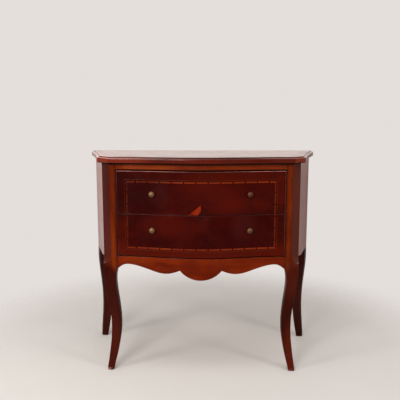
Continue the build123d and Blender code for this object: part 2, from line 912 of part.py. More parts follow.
def frame_outlines(inner, outer, top, bottom, spread):
    """Four mitred strips of a frame, from its inner rectangle out by a spread."""
    low = bottom - spread
    high = top + spread
    return [
        [(-inner, top), (inner, top), (outer, high), (-outer, high)],
        [(-inner, bottom), (inner, bottom), (outer, low), (-outer, low)],
        [(-inner, bottom), (-inner, top), (-outer, high), (-outer, low)],
        [(inner, bottom), (inner, top), (outer, high), (outer, low)],
    ]


def stringing_marks():
    """Middles of the dark blocks along the four runs of the stringing."""
    across = []
    x = -stringing_half + stringing_first_run
    while x < stringing_half - stringing_width:
        across.append(x)
        x += stringing_pitch
    down = []
    z = stringing_top_z - stringing_first_drop
    while z > stringing_bottom_z + stringing_width:
        down.append(z)
        z -= stringing_pitch
    return across, down


def rectangle(x0, x1, z0, z1):
    """Corners of an upright rectangle."""
    return [(x0, z0), (x1, z0), (x1, z1), (x0, z1)]


def stringing_outlines():
    """Light strips and dark blocks of the dashed stringing."""
    across, down = stringing_marks()
    half_width = stringing_width / 2
    half_block = stringing_block / 2
    light, dark = [], []
    for z in (stringing_top_z, stringing_bottom_z):
        starts = [-stringing_half - half_width] + [x + half_block for x in across]
        ends = [x - half_block for x in across] + [stringing_half + half_width]
        light += [rectangle(a, b, z - half_width, z + half_width) for a, b in zip(starts, ends)]
        dark += [rectangle(x - half_block, x + half_block, z - half_width, z + half_width) for x in across]
    for x in (-stringing_half, stringing_half):
        starts = [stringing_top_z - half_width] + [z - half_block for z in down]
        ends = [z + half_block for z in down] + [stringing_bottom_z + half_width]
        light += [rectangle(x - half_width, x + half_width, b, a) for a, b in zip(starts, ends)]
        dark += [rectangle(x - half_width, x + half_width, z - half_block, z + half_block) for z in down]
    return light, dark


def lozenge_outlines():
    """Frame quarters and core halves of the lozenge, above and below the joint of the drawers."""
    joint_z = upper_front_z - joint_gap / 2
    wide, tall = lozenge_half_width, lozenge_half_height
    core_wide, core_tall = lozenge_core_half_width, lozenge_core_half_height
    outlines = []
    for up in (1, -1):
        for side in (1, -1):
            outlines.append(
                [
                    (side * wide, joint_z),
                    (0, joint_z + up * tall),
                    (0, joint_z + up * core_tall),
                    (side * core_wide, joint_z),
                ]
            )
        outlines.append([(-core_wide, joint_z), (core_wide, joint_z), (0, joint_z + up * core_tall)])
    return outlines


def lozenge_tool():
    """Whole lozenge, taken out of the field veneer."""
    joint_z = upper_front_z - joint_gap / 2
    points = [
        (-lozenge_half_width, joint_z),
        (0, joint_z - lozenge_half_height),
        (lozenge_half_width, joint_z),
        (0, joint_z + lozenge_half_height),
    ]
    face = make_face(Polyline(*points, close=True))
    return extrude(Plane.XZ * face, amount=top_depth, both=True)


def veneers(z0, name):
    """All veneer pieces of one drawer front."""
    sheet = veneer_sheet(z0)
    half_width = stringing_width / 2
    inner = stringing_half - half_width
    edge = stringing_half + half_width
    line_in = stringing_half + line_offset - line_width / 2
    line_out = line_in + line_width
    top_in, bottom_in = stringing_top_z - half_width, stringing_bottom_z + half_width
    top_edge, bottom_edge = stringing_top_z + half_width, stringing_bottom_z - half_width
    halves = [rectangle(-inner, 0, bottom_in, top_in), rectangle(0, inner, bottom_in, top_in)]
    light, dark = stringing_outlines()
    to_line = line_in - edge
    border = drawer_half - line_out
    bands = frame_outlines(edge, line_in, top_edge, bottom_edge, to_line)
    bands += frame_outlines(line_out, drawer_half, top_edge + to_line + line_width,
                            bottom_edge - to_line - line_width, border)
    lines = frame_outlines(line_in, line_out, top_edge + to_line, bottom_edge - to_line, line_width)
    return {
        f"{name}_field_veneer": cut_from(sheet - lozenge_tool(), halves),
        f"{name}_crossbanding": cut_from(sheet, bands + dark),
        f"{name}_stringing": cut_from(sheet, light),
        f"{name}_line_inlay": cut_from(sheet, lines),
        f"{name}_centre_inlay": cut_from(sheet, lozenge_outlines()),
    }


def drawer(name, front_z, knob_rise):
    """All pieces of one drawer."""
    side_z = front_z + drawer_side_rise
    right = drawer_side(side_z)
    back = drawer_back(side_z)
    bottom = drawer_bottom(side_z)
    knob_z = front_z + knob_rise
    front = drawer_front_blank(front_z) - right - mirrored(right) - bottom
    pieces = veneers(front_z, name)
    field = pieces[f"{name}_field_veneer"]
    screws = []
    for x, side in ((-knob_half_spacing, "left"), (knob_half_spacing, "right")):
        place = knob_screw_place(x, knob_z)
        way = place * screw_way(knob_screw_length())
        mouth = place * extrude(Circle(screw_head_diameter / 2 + screw_fit), amount=-overrun)
        front = front - way - mouth
        field = field - way
        screws.append(place * screw(knob_screw_length()))
        pieces[f"{name}_knob_{side}"] = on_face(x, knob_z) * knob()
    pieces[f"{name}_field_veneer"] = field
    pieces[f"{name}_knob_screws"] = Compound(children=screws)
    right = right - back - bottom
    pieces[f"{name}_front"] = front
    pieces[f"{name}_side_right"] = right
    pieces[f"{name}_side_left"] = mirrored(right)
    pieces[f"{name}_back"] = back
    pieces[f"{name}_bottom"] = bottom
    return pieces


def carcass():
    """All fixed pieces."""
    panel = side_panel()
    leg = front_leg(panel)
    back_leg = rear_leg()
    rails = {name: rear_rail(z0, z1) for name, (z0, z1) in rear_rail_spans.items()}
    board = bottom_board([leg, mirrored(leg), back_leg, mirrored(back_leg)])
    panel = panel - board
    apron = front_apron()
    cleat = top_cleat()
    top = top_panel()
    lipping = top_edge_moulding()
    frieze = frieze_rail()
    back = back_panel()
    for way in top_screw_ways():
        top -= way
        cleat -= way
        frieze -= way
        rails["rear_top_rail"] -= way
    pins = []
    for x, z in back_pin_places():
        pins.append(Pos(x, 0, z) * pin())
        way = Pos(x, 0, z) * pin(screw_fit)
        back -= way
        for name in rails:
            rails[name] -= way
        if x > opening_half:
            back_leg -= way
    pieces = {
        "top_panel": top,
        "top_edge_moulding": lipping,
        "frieze_rail": frieze,
        "front_apron": apron,
        "back_panel": back,
        "bottom_board": board,
        "drawer_stops": drawer_stops(),
        "glue_blocks": glue_blocks(),
        "top_screws": top_screws(),
        "back_pins": Compound(children=pins),
    }
    pieces.update(rails)
    paired = {
        "front_leg": leg,
        "rear_leg": back_leg,
        "side_panel": panel,
        "top_cleat": cleat,
        "upper_runner": runner(upper_way_z - upper_runner_thickness, upper_way_z),
        "lower_runner": runner(apron_top, lower_way_z),
        "upper_guide": guide(upper_way_z),
        "lower_guide": guide(lower_way_z),
        "kicker": kicker(),
    }
    for name, shape in paired.items():
        pieces[f"{name}_right"] = shape
        pieces[f"{name}_left"] = mirrored(shape)
    return pieces


pieces = carcass()
pieces.update(drawer("lower_drawer", lower_front_z, lower_knob_rise))
pieces.update(drawer("upper_drawer", upper_front_z, upper_knob_rise))
for name, shape in pieces.items():
    export_step(shape, f"parts/{name}.step")
print(len(pieces), "nodes")
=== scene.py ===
import math

import bpy
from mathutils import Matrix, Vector

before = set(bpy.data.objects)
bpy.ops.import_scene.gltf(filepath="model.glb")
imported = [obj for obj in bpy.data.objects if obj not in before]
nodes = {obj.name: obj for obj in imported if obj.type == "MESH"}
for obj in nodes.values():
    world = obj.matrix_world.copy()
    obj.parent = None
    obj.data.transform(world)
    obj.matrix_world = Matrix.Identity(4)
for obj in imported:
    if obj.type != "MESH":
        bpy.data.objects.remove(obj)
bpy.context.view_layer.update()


# Front legs. Post and cabriole leg are one length of stained beech, sawn to a pattern and spokeshaved,
# with the corner of the post planed off down to a curved stop. The front of the post is lighter than the
# canted corner and the leg below, partly as a lighter finish and partly as painted light, with the leg
# and corner painted darker as shade; the lacquer is rubbed thin on the arrises.
def fill_inputs(tree, made, inputs):
    """Gives each named input its value, or links it to the output of another node."""
    for name, value in inputs.items():
        if isinstance(value, bpy.types.NodeSocket):
            tree.links.new(value, made.inputs[name])
        else:
            made.inputs[name].default_value = value


def add(tree, kind, inputs=None, **settings):
    made = tree.nodes.new(kind)
    for name, value in settings.items():
        setattr(made, name, value)
    fill_inputs(tree, made, inputs or {})
    return made


def maths(tree, operation, first, second=0.0, third=0.0, clamp=False):
    inputs = {0: first, 1: second, 2: third}
    return add(tree, "ShaderNodeMath", inputs, operation=operation, use_clamp=clamp).outputs[0]


def times(tree, *factors):
    product = factors[0]
    for factor in factors[1:]:
        product = maths(tree, "MULTIPLY", product, factor)
    return product


def ramp(tree, value, low, high, to_low=0.0, to_high=1.0, smooth=True):
    """Value carried from the range low..high to to_low..to_high, and held flat beyond it."""
    inputs = {0: value, 1: low, 2: high, 3: to_low, 4: to_high}
    kind = "SMOOTHSTEP" if smooth else "LINEAR"
    return add(tree, "ShaderNodeMapRange", inputs, interpolation_type=kind).outputs[0]


def noise(tree, vector, scale, detail=2.0, roughness=0.5):
    inputs = {"Vector": vector, "Scale": scale, "Detail": detail, "Roughness": roughness}
    return add(tree, "ShaderNodeTexNoise", inputs).outputs[0]


def split(tree, vector):
    return add(tree, "ShaderNodeSeparateXYZ", {0: vector}).outputs


def spread_of(tree, parts):
    """Size of the X part, the same to the left and to the right."""
    return maths(tree, "ABSOLUTE", parts["X"])


def stretch(tree, vector, factors):
    return add(tree, "ShaderNodeVectorMath", {0: vector, 1: factors}, operation="MULTIPLY").outputs[0]


def blend_colours(tree, factor, first, second, blend="MIX"):
    inputs = {0: factor, 6: first, 7: second}
    return add(tree, "ShaderNodeMix", inputs, data_type="RGBA", blend_type=blend).outputs[2]


def shade_colour(tree, colour, level):
    grey = add(tree, "ShaderNodeCombineColor", {0: level, 1: level, 2: level}).outputs[0]
    return blend_colours(tree, 1.0, colour, grey, "MULTIPLY")


def srgb(red, green, blue):
    """Colour as seen on a screen, 0 to 255, in the renderer's own scale."""
    values = [v / 255 for v in (red, green, blue)]
    return tuple(v / 12.92 if v <= 0.04045 else ((v + 0.055) / 1.055) ** 2.4 for v in values) + (1.0,)


def new_group(name, inputs, outputs):
    """Empty node group with named inputs and outputs."""
    tree = bpy.data.node_groups.new(name, "ShaderNodeTree")
    for label, kind, value in inputs:
        socket = tree.interface.new_socket(label, in_out="INPUT", socket_type=kind)
        if value is not None:
            socket.default_value = value
    for label, kind in outputs:
        tree.interface.new_socket(label, in_out="OUTPUT", socket_type=kind)
    return tree, tree.nodes.new("NodeGroupInput").outputs, tree.nodes.new("NodeGroupOutput").inputs


def make_stained_wood():
    """Stained wood whose grain runs along X: broad figure, long streaks and short dark pores."""
    tree, given, result = new_group(
        "stained_wood",
        [
            ("Vector", "NodeSocketVector", None),
            ("Dark", "NodeSocketColor", srgb(40, 12, 8)),
            ("Light", "NodeSocketColor", srgb(90, 30, 14)),
            ("Figure Size", "NodeSocketFloat", 0.08),
            ("Swirl", "NodeSocketFloat", 0.02),
            ("Streaks Per Metre", "NodeSocketFloat", 260.0),
            ("Streak Depth", "NodeSocketFloat", 0.3),
            ("Pore Depth", "NodeSocketFloat", 0.35),
        ],
        [("Color", "NodeSocketColor"), ("Figure", "NodeSocketFloat"), ("Pores", "NodeSocketFloat")],
    )
    swirls_per_metre = 9.0
    pores_per_metre = 1500.0
    figure_along = (0.22, 1.0, 1.0)
    streaks_along = (0.03, 1.0, 1.0)
    pores_along = (0.06, 1.0, 1.0)
    swirl_inputs = {"Vector": given["Vector"], "Scale": swirls_per_metre, "Detail": 2.0}
    swirl = add(tree, "ShaderNodeTexNoise", swirl_inputs).outputs["Color"]
    centring = {0: swirl, 1: (-0.5, -0.5, -0.5)}
    swirl = add(tree, "ShaderNodeVectorMath", centring, operation="ADD").outputs[0]
    sizing = {0: swirl, "Scale": given["Swirl"]}
    swirl = add(tree, "ShaderNodeVectorMath", sizing, operation="SCALE").outputs[0]
    bent = add(tree, "ShaderNodeVectorMath", {0: given["Vector"], 1: swirl}, operation="ADD").outputs[0]
    figures_per_metre = maths(tree, "DIVIDE", 1.0, given["Figure Size"])
    figure = noise(tree, stretch(tree, bent, figure_along), figures_per_metre, 4.0, 0.55)
    figure = ramp(tree, figure, 0.33, 0.67)
    streaks = noise(tree, stretch(tree, bent, streaks_along), given["Streaks Per Metre"], 3.0)
    streaks = ramp(tree, streaks, 0.3, 0.7)
    pores = noise(tree, stretch(tree, bent, pores_along), pores_per_metre, 1.0)
    pores = ramp(tree, pores, 0.58, 0.7)
    streak_shade = maths(tree, "SUBTRACT", 1.0, times(tree, streaks, given["Streak Depth"]))
    pore_shade = maths(tree, "SUBTRACT", 1.0, times(tree, pores, given["Pore Depth"]))
    colour = blend_colours(tree, figure, given["Dark"], given["Light"])
    colour = shade_colour(tree, colour, times(tree, streak_shade, pore_shade))
    tree.links.new(colour, result["Color"])
    tree.links.new(figure, result["Figure"])
    tree.links.new(pores, result["Pores"])
    return tree


def make_lacquer_film():
    """Gloss of an old lacquer: rubbed patches, fine dust and a slightly wavy film over the pores."""
    tree, given, result = new_group(
        "lacquer_film",
        [
            ("Vector", "NodeSocketVector", None),
            ("Pores", "NodeSocketFloat", 0.0),
            ("Roughness", "NodeSocketFloat", 0.18),
            ("Patches", "NodeSocketFloat", 0.08),
            ("Waviness", "NodeSocketFloat", 0.15),
            ("Easing", "NodeSocketFloat", 0.0012),
        ],
        [("Roughness", "NodeSocketFloat"), ("Normal", "NodeSocketVector")],
    )
    patches_per_metre = 14.0
    dust_per_metre = 900.0
    waves_per_metre = 32.0
    dust_roughness = 0.08
    pore_roughness = 0.1
    pore_height = -0.03
    bump_metres = 0.0006
    cloud = ramp(tree, noise(tree, given["Vector"], patches_per_metre, 5.0, 0.6), 0.35, 0.7)
    dust = ramp(tree, noise(tree, given["Vector"], dust_per_metre, 1.0), 0.62, 0.72)
    rough = maths(tree, "MULTIPLY_ADD", cloud, given["Patches"], given["Roughness"])
    rough = maths(tree, "MULTIPLY_ADD", dust, dust_roughness, rough)
    rough = maths(tree, "MULTIPLY_ADD", given["Pores"], pore_roughness, rough, clamp=True)
    height = times(tree, noise(tree, given["Vector"], waves_per_metre), given["Waviness"])
    height = maths(tree, "MULTIPLY_ADD", given["Pores"], pore_height, height)
    eased = add(tree, "ShaderNodeBevel", {"Radius": given["Easing"]}, samples=6).outputs[0]
    relief = {"Strength": 0.35, "Distance": bump_metres, "Height": height, "Normal": eased}
    tree.links.new(rough, result["Roughness"])
    tree.links.new(add(tree, "ShaderNodeBump", relief).outputs[0], result["Normal"])
    return tree


def make_worn_arris():
    """Mask of the arrises where the finish is rubbed through, broken up along their length."""
    tree, given, result = new_group(
        "worn_arris",
        [
            ("Vector", "NodeSocketVector", None),
            ("Width", "NodeSocketFloat", 0.0012),
            ("Amount", "NodeSocketFloat", 0.6),
        ],
        [("Mask", "NodeSocketFloat")],
    )
    rubs_per_metre = 60.0
    turned = add(tree, "ShaderNodeBevel", {"Radius": given["Width"]}, samples=6).outputs[0]
    true = tree.nodes.new("ShaderNodeNewGeometry").outputs["Normal"]
    meet = add(tree, "ShaderNodeVectorMath", {0: turned, 1: true}, operation="DOT_PRODUCT")
    edge = ramp(tree, maths(tree, "SUBTRACT", 1.0, meet.outputs["Value"]), 0.01, 0.16)
    broken = ramp(tree, noise(tree, given["Vector"], rubs_per_metre, 5.0, 0.65), 0.38, 0.62)
    broken = times(tree, broken, given["Amount"])
    tree.links.new(maths(tree, "MULTIPLY", edge, broken, clamp=True), result["Mask"])
    return tree


stained_wood = make_stained_wood()
lacquer_film = make_lacquer_film()
worn_arris = make_worn_arris()


def start_material(name):
    """New material: its tree, its shader and the object's own coordinates."""
    made = bpy.data.materials.new(name)
    made.use_nodes = True
    tree = made.node_tree
    shader = tree.nodes["Principled BSDF"]
    place = tree.nodes.new("ShaderNodeTexCoord").outputs["Object"]
    return made, tree, shader, place


def turned_grain(tree, place, turn=(0.0, 0.0, 0.0), shift=(0.0, 0.0, 0.0)):
    """Coordinates turned so that the grain runs along X."""
    inputs = {"Vector": place, "Rotation": turn, "Location": shift}
    return add(tree, "ShaderNodeMapping", inputs).outputs[0]


def facing_of(tree):
    """The three parts of the direction in which the piece's own surface faces."""
    return split(tree, tree.nodes.new("ShaderNodeTexCoord").outputs["Normal"])


def use_group(tree, group, inputs):
    made = tree.nodes.new("ShaderNodeGroup")
    made.node_tree = group
    fill_inputs(tree, made, inputs)
    return made.outputs


def lacquer(tree, shader, colour, film, place, wear=None, worn_colour=None):
    """Joins colour, film and worn arrises to the shader."""
    if wear is not None:
        mask = use_group(tree, worn_arris, {"Vector": place, **wear})["Mask"]
        colour = blend_colours(tree, mask, colour, worn_colour)
    tree.links.new(colour, shader.inputs["Base Color"])
    tree.links.new(film["Roughness"], shader.inputs["Roughness"])
    tree.links.new(film["Normal"], shader.inputs["Normal"])
    shader.inputs["IOR"].default_value = lacquer_ior


def patches(tree, place, spots):
    """Soft mask of broad patches; each has the X and Z of its middle, two half sizes and a strength."""
    part = split(tree, place)
    total = 0.0
    for x, z, half_x, half_z, strength in spots:
        across = maths(tree, "DIVIDE", maths(tree, "SUBTRACT", part["X"], x), half_x)
        up = maths(tree, "DIVIDE", maths(tree, "SUBTRACT", part["Z"], z), half_z)
        reach = maths(tree, "ADD", times(tree, across, across), times(tree, up, up))
        total = maths(tree, "ADD", total, ramp(tree, reach, 1.0, 0.0, 0.0, strength))
    return total


def finish_nodes(material, names):
    """Gives CAD nodes their material."""
    for name in names:
        mesh = nodes[name].data
        mesh.materials.clear()
        mesh.materials.append(material)


def shade_under_top(tree, height, colour):
    """Painted shade: darker in the corner under the overhanging top."""
    corner = ramp(tree, height, under_top_shade_start_z, under_top_shade_full_z, 0.0, under_top_shade_strength)
    return blend_colours(tree, corner, colour, under_top_shade)


NO_TURN = (0.0, 0.0, 0.0)
UPRIGHT = (0.0, math.pi / 2, 0.0)
lacquer_ior = 1.5
# Colour, strength and height band of the painted shade under the overhanging top.
under_top_shade = srgb(42, 8, 2)
under_top_shade_strength = 0.85
under_top_shade_start_z = 0.7700
under_top_shade_full_z = 0.7735
leg_dark = srgb(56, 9, 2)
leg_light = srgb(66, 13, 3)
leg_painted_light_colour = srgb(92, 27, 5)
leg_worn = srgb(150, 78, 48)
leg_gloss = 0.18
# Painted light: lighter patches on the lower legs, where their fronts turn up towards the light.
leg_painted_light_spots = [
    (0.345, 0.06, 0.05, 0.16, 0.7),
    (0.34, 0.36, 0.05, 0.11, 0.4),
    (-0.34, 0.08, 0.06, 0.18, 0.35),
]
post_dark = srgb(100, 29, 1)
post_light = srgb(136, 48, 3)
post_edge_shade = srgb(58, 14, 3)
inner_shade_strength = 0.9
outer_shade_strength = 0.45
post_foot_z = 0.385
post_clear_z = 0.425
post_front_x = 0.315
post_front_slope = -1.2
post_arris_x = 0.327
opening_edge_x = 0.3035
corner_start_x = 0.3
corner_full_x = 0.325
corner_dark = srgb(68, 19, 12)
corner_light = srgb(80, 24, 15)
corner_sheen = srgb(107, 52, 38)
corner_sheen_share = 0.45
foot_bare = srgb(215, 170, 150)
foot_spots = [(-0.344, 0.0, 0.011, 0.02, 0.8)]
foot_scuffs_per_metre = 150.0
foot_scuff_z = 0.011
other_feet_share = 0.12

leg_wood, tree, shader, place = start_material("leg_wood")
grain = turned_grain(tree, place, UPRIGHT)
leg = use_group(tree, stained_wood, {
    "Vector": grain, "Dark": leg_dark, "Light": leg_light, "Figure Size": 0.05, "Swirl": 0.012,
    "Streaks Per Metre": 300.0, "Streak Depth": 0.2, "Pore Depth": 0.22})
post = use_group(tree, stained_wood, {
    "Vector": grain, "Dark": post_dark, "Light": post_light, "Figure Size": 0.05, "Swirl": 0.008,
    "Streaks Per Metre": 420.0, "Streak Depth": 0.2, "Pore Depth": 0.2})
part = split(tree, place)
spread = spread_of(tree, part)
front_mask = ramp(tree, times(tree, facing_of(tree)["Y"], -1.0), 0.9, 0.97)
outward = maths(tree, "SUBTRACT", spread, post_front_x)
slanted = maths(tree, "MULTIPLY_ADD", outward, post_front_slope, part["Z"])
upper_mask = ramp(tree, slanted, post_foot_z - 0.02, post_clear_z - 0.01)
# Painted shade: the post front darker towards the drawer opening and towards its outer arris.
inner_mask = ramp(tree, spread, opening_edge_x + 0.011, opening_edge_x, 0.0, inner_shade_strength)
outer_mask = ramp(tree, spread, post_arris_x - 0.006, post_arris_x, 0.0, outer_shade_strength)
face = blend_colours(tree, maths(tree, "MAXIMUM", inner_mask, outer_mask), post["Color"], post_edge_shade)
corner = blend_colours(tree, leg["Figure"], corner_dark, corner_light)
# Painted sheen: the right-hand canted corner paler and greyer, standing in for reflected light.
right_sheen = ramp(tree, part["X"], -0.1, 0.1, 0.0, corner_sheen_share)
corner = blend_colours(tree, right_sheen, corner, corner_sheen)
corner_mask = ramp(tree, part["Z"], post_foot_z, post_clear_z)
corner_mask = times(tree, corner_mask, ramp(tree, spread, corner_start_x, corner_full_x))
# Painted light on the lower legs.
shaft = blend_colours(tree, patches(tree, place, leg_painted_light_spots), leg["Color"], leg_painted_light_colour)
shaft = blend_colours(tree, corner_mask, shaft, corner)
# Painted light: the front of the post lighter than the leg and the canted corner, partly a lighter
# finish.
colour = blend_colours(tree, times(tree, front_mask, upper_mask), shaft, face)
scuffs = noise(tree, turned_grain(tree, place, shift=(0.31, 0.2, 0.0)), foot_scuffs_per_metre)
scuffs = times(tree, ramp(tree, scuffs, 0.42, 0.55), ramp(tree, part["Z"], foot_scuff_z, 0.003))
scuffs = times(tree, scuffs, maths(tree, "ADD", other_feet_share, patches(tree, place, foot_spots)))
colour = blend_colours(tree, scuffs, colour, foot_bare)
# Painted shade at the top of the post, under the overhanging top.
colour = shade_under_top(tree, part["Z"], colour)
film = use_group(tree, lacquer_film, {
    "Vector": place, "Pores": leg["Pores"], "Roughness": 0.22, "Patches": 0.1, "Waviness": 0.35})
lacquer(tree, shader, colour, film, place, {"Width": 0.0014, "Amount": 0.42}, leg_worn)
shader.inputs["Specular IOR Level"].default_value = leg_gloss
finish_nodes(leg_wood, ["front_leg_left", "front_leg_right"])


# Rear legs. The same beech as the front legs, stained dark all the way up; each is rebated at the back
# for the plywood and cut back on the outside, so that the side panel laps over it.
rear_leg_dark = srgb(54, 12, 3)
rear_leg_light = srgb(70, 17, 4)

rear_leg_wood, tree, shader, place = start_material("rear_leg_wood")
leg = use_group(tree, stained_wood, {
    "Vector": turned_grain(tree, place, UPRIGHT, (0.4, 0.1, 0.3)), "Dark": rear_leg_dark,
    "Light": rear_leg_light, "Figure Size": 0.05, "Swirl": 0.012, "Streaks Per Metre": 300.0,
    "Streak Depth": 0.25, "Pore Depth": 0.25})
film = use_group(tree, lacquer_film, {
    "Vector": place, "Pores": leg["Pores"], "Roughness": 0.3, "Patches": 0.14, "Waviness": 0.35})
lacquer(tree, shader, leg["Color"], film, place, {"Width": 0.0016, "Amount": 0.4}, leg_worn)
shader.inputs["Specular IOR Level"].default_value = leg_gloss
finish_nodes(rear_leg_wood, ["rear_leg_left", "rear_leg_right"])


# Side panels. Hollow-curved boards, tongued into the front posts and lapped over the rear legs, with
# mahogany veneer whose grain runs upright, under a full gloss lacquer; the lower edge is cut to a curve.
side_dark = srgb(122, 40, 20)
side_light = srgb(152, 54, 26)
filled_pores = 0.35

side_veneer, tree, shader, place = start_material("side_veneer")
side = use_group(tree, stained_wood, {
    "Vector": turned_grain(tree, place, UPRIGHT, (0.1, 0.7, 0.2)), "Dark": side_dark,
    "Light": side_light, "Figure Size": 0.07, "Swirl": 0.02, "Streaks Per Metre": 240.0,
    "Streak Depth": 0.25, "Pore Depth": 0.35})
film = use_group(tree, lacquer_film, {
    "Vector": place, "Pores": times(tree, side["Pores"], filled_pores), "Roughness": 0.15,
    "Patches": 0.06, "Waviness": 0.3})
lacquer(tree, shader, side["Color"], film, place, {"Width": 0.001, "Amount": 0.35}, leg_worn)
finish_nodes(side_veneer, ["side_panel_left", "side_panel_right"])


# Inner frame. Rear rails, cleats, runners, guides, kickers, stops and glue blocks are sawn and planed
# from pale hardwood, glued and left bare; years of sliding have darkened the runners a little.
ACROSS = (0.0, 0.0, math.pi / 2)
handled_stain = srgb(112, 84, 56)
stains_per_metre = 7.0


def bare_wood(name, turn, dark, light, shift=(0.0, 0.0, 0.0), soil=0.35):
    """Unfinished wood with a dry, slightly furry surface and soft stains."""
    made, tree, shader, place = start_material(name)
    wood = use_group(tree, stained_wood, {
        "Vector": turned_grain(tree, place, turn, shift), "Dark": dark, "Light": light,
        "Figure Size": 0.045, "Swirl": 0.02, "Streaks Per Metre": 330.0, "Streak Depth": 0.22,
        "Pore Depth": 0.3})
    stain = ramp(tree, noise(tree, place, stains_per_metre, 6.0, 0.62), 0.48, 0.7)
    colour = blend_colours(tree, times(tree, stain, soil), wood["Color"], handled_stain)
    film = use_group(tree, lacquer_film, {
        "Vector": place, "Pores": wood["Pores"], "Roughness": 0.62, "Patches": 0.12, "Waviness": 0.8})
    lacquer(tree, shader, colour, film, place)
    return made


rail_beech = bare_wood("rail_beech", NO_TURN, srgb(168, 128, 84), srgb(203, 166, 120))
runner_beech = bare_wood(
    "runner_beech", ACROSS, srgb(160, 120, 78), srgb(196, 158, 112), shift=(0.3, 0.2, 0.0), soil=0.5)
finish_nodes(rail_beech, [
    "rear_top_rail", "rear_middle_rail", "rear_bottom_rail", "drawer_stops", "glue_blocks"])
for piece in ("top_cleat", "upper_runner", "lower_runner", "upper_guide", "lower_guide", "kicker"):
    finish_nodes(runner_beech, [f"{piece}_left", f"{piece}_right"])


# Back and bottom boards. Thin plywood: the back is pinned into the rebates of the rear legs and stained
# thinly, the bottom board lies in grooves of the side panels under the lower drawer, and each drawer's
# own bottom is the same sheet.
plywood_back = bare_wood(
    "plywood_back", UPRIGHT, srgb(118, 78, 46), srgb(150, 104, 64), shift=(0.0, 0.4, 0.1), soil=0.45)
plywood_bottom = bare_wood(
    "plywood_bottom", NO_TURN, srgb(158, 120, 78), srgb(190, 152, 106), shift=(0.2, 0.3, 0.5), soil=0.4)
finish_nodes(plywood_back, ["back_panel"])
finish_nodes(plywood_bottom, ["bottom_board", "upper_drawer_bottom", "lower_drawer_bottom"])


# Frieze rail and apron. Bowed rails, tenoned between the posts and faced with lighter, orange-brown
# veneer; the apron is sawn to its scallops, and its edges are stained dark after sawing.
rail_gloss = 0.28
rail_edge = srgb(62, 20, 9)
rail_worn = srgb(186, 98, 52)
rail_ripple = (26.0, 3.0, 7.0)


def rail_veneer(name, dark, light, shift, figure_size, pale, pale_spots, dim_spots):
    """Lighter veneer along X with soft cross figure, and a darker sawn edge."""
    made, tree, shader, place = start_material(name)
    grain = turned_grain(tree, place, NO_TURN, shift)
    wood = use_group(tree, stained_wood, {
        "Vector": grain, "Dark": dark, "Light": light, "Figure Size": figure_size, "Swirl": 0.03,
        "Streaks Per Metre": 330.0, "Streak Depth": 0.16, "Pore Depth": 0.18})
    ripple = noise(tree, stretch(tree, grain, rail_ripple), 1.0, 3.0)
    colour = blend_colours(tree, ramp(tree, ripple, 0.4, 0.66, 0.0, 0.3), wood["Color"], dark)
    colour = blend_colours(tree, patches(tree, place, pale_spots), colour, pale)
    colour = blend_colours(tree, patches(tree, place, dim_spots), colour, dark)
    face_mask = ramp(tree, times(tree, facing_of(tree)["Y"], -1.0), 0.35, 0.75)
    colour = blend_colours(tree, face_mask, rail_edge, colour)
    # Painted shade at the top of the rail, under the overhanging top.
    colour = shade_under_top(tree, split(tree, place)["Z"], colour)
    film = use_group(tree, lacquer_film, {
        "Vector": place, "Pores": wood["Pores"], "Roughness": 0.2, "Patches": 0.1, "Waviness": 0.3})
    lacquer(tree, shader, colour, film, place, {"Width": 0.0012, "Amount": 0.5}, rail_worn)
    shader.inputs["Specular IOR Level"].default_value = rail_gloss
    return made


frieze_veneer = rail_veneer(
    "frieze_veneer", srgb(106, 30, 2), srgb(146, 52, 4), shift=(0.1, 0.0, 0.4), figure_size=0.05,
    pale=srgb(168, 70, 18),
    pale_spots=[(-0.2, 0.766, 0.14, 0.04, 0.4)],
    dim_spots=[
        (0.22, 0.766, 0.1, 0.03, 0.3),
        # Painted shade: the frieze darker at both ends, beside the posts.
        (-0.305, 0.766, 0.04, 0.05, 0.7),
        (0.305, 0.766, 0.03, 0.05, 0.4)])
apron_veneer = rail_veneer(
    "apron_veneer", srgb(92, 20, 0), srgb(128, 37, 0), shift=(0.6, 0.3, 0.2), figure_size=0.06,
    pale=srgb(156, 56, 6),
    pale_spots=[(-0.22, 0.43, 0.1, 0.03, 0.35)],
    dim_spots=[(-0.035, 0.41, 0.05, 0.04, 0.7), (0.05, 0.375, 0.08, 0.05, 0.6)])
finish_nodes(frieze_veneer, ["frieze_rail"])
finish_nodes(apron_veneer, ["front_apron"])


# Top. A veneered board inside a solid lipping, screwed down from below. The lipping has a rounded edge
# with a small step above it; the rounding carries a painted highlight, the step is dulled with wax and
# its riser painted dark as shade, the canted corners are painted lighter and the chamfer underneath is
# painted shade. The rounded edge and the step carry the thickest lacquer, which mirrors whatever stands
# behind.
board_dark = srgb(84, 26, 12)
board_light = srgb(112, 38, 17)
polished_pores = 0.15

top_veneer, tree, shader, place = start_material("top_veneer")
board = use_group(tree, stained_wood, {
    "Vector": turned_grain(tree, place, NO_TURN, (0.25, 0.5, 0.0)), "Dark": board_dark,
    "Light": board_light, "Figure Size": 0.09, "Swirl": 0.05, "Streaks Per Metre": 200.0,
    "Streak Depth": 0.2, "Pore Depth": 0.25})
film = use_group(tree, lacquer_film, {
    "Vector": place, "Pores": times(tree, board["Pores"], polished_pores), "Roughness": 0.17,
    "Patches": 0.04, "Waviness": 0.1})
lacquer(tree, shader, board["Color"], film, place)
finish_nodes(top_veneer, ["top_panel"])

top_z = 0.8
step_z = 0.796
lip_dark = srgb(80, 20, 10)
lip_light = srgb(98, 27, 12)
lip_paler = srgb(132, 46, 28)
lip_paler_spots = [(-0.3, 0.79, 0.16, 0.08, 0.6)]
lip_riser_shade = srgb(40, 8, 6)
lip_canted_lit = srgb(142, 58, 40)
lip_highlight = srgb(226, 168, 158)
lip_under_shade = srgb(20, 3, 1)
lip_gloss = 0.4
lip_highlight_breaks_per_metre = 11.0
highlight_gap_x = 0.08
dull_roughness = 0.5
step_end_x = 0.375

